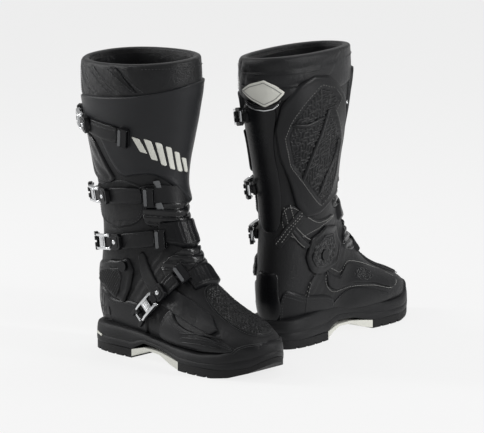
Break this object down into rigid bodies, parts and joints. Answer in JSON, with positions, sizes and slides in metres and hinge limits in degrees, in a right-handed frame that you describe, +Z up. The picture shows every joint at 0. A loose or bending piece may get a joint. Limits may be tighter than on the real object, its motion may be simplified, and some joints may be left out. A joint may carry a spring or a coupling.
{
  "type": "riding boots",
  "caption": "Pair of tall black off-road riding boots with moulded shin, ankle and calf armour, lever buckles on straps, padded collars, textured grips and block-tread soles.",
  "frame": {"origin": "bottom centre of the pair's bounding box, on the ground under both soles", "axes": "+Z up, +X along the right boot from heel to toe, +Y across it and roughly along the left boot from heel to toe"},
  "size_m": [0.3486, 0.506, 0.4128],
  "materials": {
    "tread": "matte",
    "pale_insert": "satin",
    "rand": "satin",
    "steel": "brushed",
    "footbed": "woven",
    "upper": "grained",
    "gusset": "glossy",
    "collar": "padded",
    "lining": "mesh",
    "armour": "satin",
    "guard": "textured",
    "counter": "polished",
    "pad": "textured",
    "ankle_pad": "textured",
    "bolt": "satin",
    "catch": "satin",
    "strap": "satin",
    "buckle_block": "satin",
    "lever": "polished"
  },
  "bodies": {
    "right_foot": {"right_outsole": "tread", "right_arch_insert": "pale_insert", "right_rand": "rand", "right_shank": "steel", "right_footbed": "footbed", "right_foot_upper": "upper", "right_ankle_gusset": "gusset", "right_lining": "lining", "right_heel_cup": "counter", "right_toe_pad": "pad", "right_ankle_bolts": "bolt", "right_foot_mounts": "catch"},
    "right_shaft": {"right_shaft_upper": "upper", "right_collar": "collar", "right_shin_plate": "armour", "right_burn_guard": "guard", "right_ankle_plates": "ankle_pad", "right_calf_mounts": "catch"},
    "right_strap_1": {"right_strap_1": "strap", "right_strap_end_1": "buckle_block"},
    "right_lever_1": {"right_lever_1": "lever"},
    "right_strap_2": {"right_strap_2": "strap", "right_strap_end_2": "buckle_block"},
    "right_lever_2": {"right_lever_2": "lever"},
    "right_strap_3": {"right_strap_3": "strap", "right_strap_end_3": "buckle_block"},
    "right_lever_3": {"right_lever_3": "lever"},
    "right_strap_4": {"right_strap_4": "strap", "right_strap_end_4": "buckle_block"},
    "right_lever_4": {"right_lever_4": "lever"},
    "left_foot": {"left_outsole": "tread", "left_arch_insert": "pale_insert", "left_rand": "rand", "left_shank": "steel", "left_footbed": "footbed", "left_foot_upper": "upper", "left_ankle_gusset": "gusset", "left_lining": "lining", "left_heel_cup": "counter", "left_toe_pad": "pad", "left_ankle_bolts": "bolt", "left_foot_mounts": "catch"},
    "left_shaft": {"left_shaft_upper": "upper", "left_collar": "collar", "left_shin_plate": "armour", "left_burn_guard": "guard", "left_ankle_plates": "ankle_pad", "left_calf_mounts": "catch"},
    "left_strap_1": {"left_strap_1": "strap", "left_strap_end_1": "buckle_block"},
    "left_lever_1": {"left_lever_1": "lever"},
    "left_strap_2": {"left_strap_2": "strap", "left_strap_end_2": "buckle_block"},
    "left_lever_2": {"left_lever_2": "lever"},
    "left_strap_3": {"left_strap_3": "strap", "left_strap_end_3": "buckle_block"},
    "left_lever_3": {"left_lever_3": "lever"},
    "left_strap_4": {"left_strap_4": "strap", "left_strap_end_4": "buckle_block"},
    "left_lever_4": {"left_lever_4": "lever"}
  },
  "joints": [
    {"name": "right_ankle_flex", "type": "hinge", "parent": "right_foot", "child": "right_shaft", "pos_m": [-0.06671, -0.1833, 0.126], "axis": [0, 1, 0], "range_deg": [-6, 10], "stiffness_Nm_per_rad": 25, "deforming": ["right_ankle_gusset", "right_lining"]},
    {"name": "right_strap_1_swing", "type": "hinge", "parent": "right_shaft", "child": "right_strap_1", "pos_m": [-0.05784, -0.24752, 0.30889], "axis": [0.1661, -0.1221, 0.9785], "range_deg": [0, 60]},
    {"name": "right_lever_1_turn", "type": "hinge", "parent": "right_strap_1", "child": "right_lever_1", "pos_m": [-0.13543, -0.23802, 0.31998], "axis": [0.064, -0.1574, 0.9855], "range_deg": [0, 100]},
    {"name": "right_strap_2_swing", "type": "hinge", "parent": "right_shaft", "child": "right_strap_2", "pos_m": [-0.03188, -0.22855, 0.22548], "axis": [-0.0255, -0.0815, 0.9963], "range_deg": [0, 60]},
    {"name": "right_lever_2_turn", "type": "hinge", "parent": "right_strap_2", "child": "right_lever_2", "pos_m": [-0.10742, -0.23393, 0.22084], "axis": [-0.087, -0.1, 0.9912], "range_deg": [0, 100]},
    {"name": "right_strap_3_swing", "type": "hinge", "parent": "right_shaft", "child": "right_strap_3", "pos_m": [-0.01591, -0.2215, 0.16738], "axis": [-0.1318, 0.0014, 0.9913], "range_deg": [0, 60]},
    {"name": "right_lever_3_turn", "type": "hinge", "parent": "right_strap_3", "child": "right_lever_3", "pos_m": [-0.08767, -0.23413, 0.15789], "axis": [-0.1311, 0.0016, 0.9914], "range_deg": [0, 100]},
    {"name": "right_strap_4_swing", "type": "hinge", "parent": "right_foot", "child": "right_strap_4", "pos_m": [0.02332, -0.21982, 0.12056], "axis": [-0.7504, 0.0238, 0.6606], "range_deg": [0, 60]},
    {"name": "right_lever_4_turn", "type": "hinge", "parent": "right_strap_4", "child": "right_lever_4", "pos_m": [-0.00555, -0.23243, 0.08935], "axis": [-0.7471, 0.0807, 0.6597], "range_deg": [0, 100]},
    {"name": "left_ankle_flex", "type": "hinge", "parent": "left_foot", "child": "left_shaft", "pos_m": [0.03755, 0.01298, 0.126], "axis": [-0.9945, -0.1045, 0], "range_deg": [-6, 10], "stiffness_Nm_per_rad": 25, "deforming": ["left_ankle_gusset", "left_lining"]},
    {"name": "left_strap_1_swing", "type": "hinge", "parent": "left_shaft", "child": "left_strap_1", "pos_m": [-0.02725, 0.0151, 0.30889], "axis": [0.1388, -0.1524, -0.9785], "range_deg": [0, 60]},
    {"name": "left_lever_1_turn", "type": "hinge", "parent": "left_strap_1", "child": "left_lever_1", "pos_m": [-0.0097, -0.06108, 0.31998], "axis": [0.1632, -0.0472, -0.9855], "range_deg": [0, 100]},
    {"name": "left_strap_2_swing", "type": "hinge", "parent": "left_shaft", "child": "left_strap_2", "pos_m": [-0.0111, 0.04289, 0.22548], "axis": [0.0784, 0.0339, -0.9963], "range_deg": [0, 60]},
    {"name": "left_lever_2_turn", "type": "hinge", "parent": "left_strap_2", "child": "left_lever_2", "pos_m": [-0.00855, -0.03279, 0.22084], "axis": [0.0904, 0.097, -0.9912], "range_deg": [0, 100]},
    {"name": "left_strap_3_swing", "type": "hinge", "parent": "left_shaft", "child": "left_strap_3", "pos_m": [-0.00575, 0.05951, 0.16738], "axis": [-0.0152, 0.1309, -0.9913], "range_deg": [0, 60]},
    {"name": "left_lever_3_turn", "type": "hinge", "parent": "left_strap_3", "child": "left_lever_3", "pos_m": [-0.01081, -0.01317, 0.15789], "axis": [-0.0153, 0.1302, -0.9914], "range_deg": [0, 100]},
    {"name": "left_strap_4_swing", "type": "hinge", "parent": "left_foot", "child": "left_strap_4", "pos_m": [-0.00818, 0.0987, 0.12056], "axis": [-0.1021, 0.7438, -0.6606], "range_deg": [0, 60]},
    {"name": "left_lever_4_turn", "type": "hinge", "parent": "left_strap_4", "child": "left_lever_4", "pos_m": [-0.01771, 0.06868, 0.08935], "axis": [-0.1583, 0.7346, -0.6597], "range_deg": [0, 100]},
    {"name": "left_boot_lift", "type": "slide", "parent": "right_foot", "child": "left_foot", "axis": [0, 0, 1], "range_m": [0, 0.45]}
  ]
}
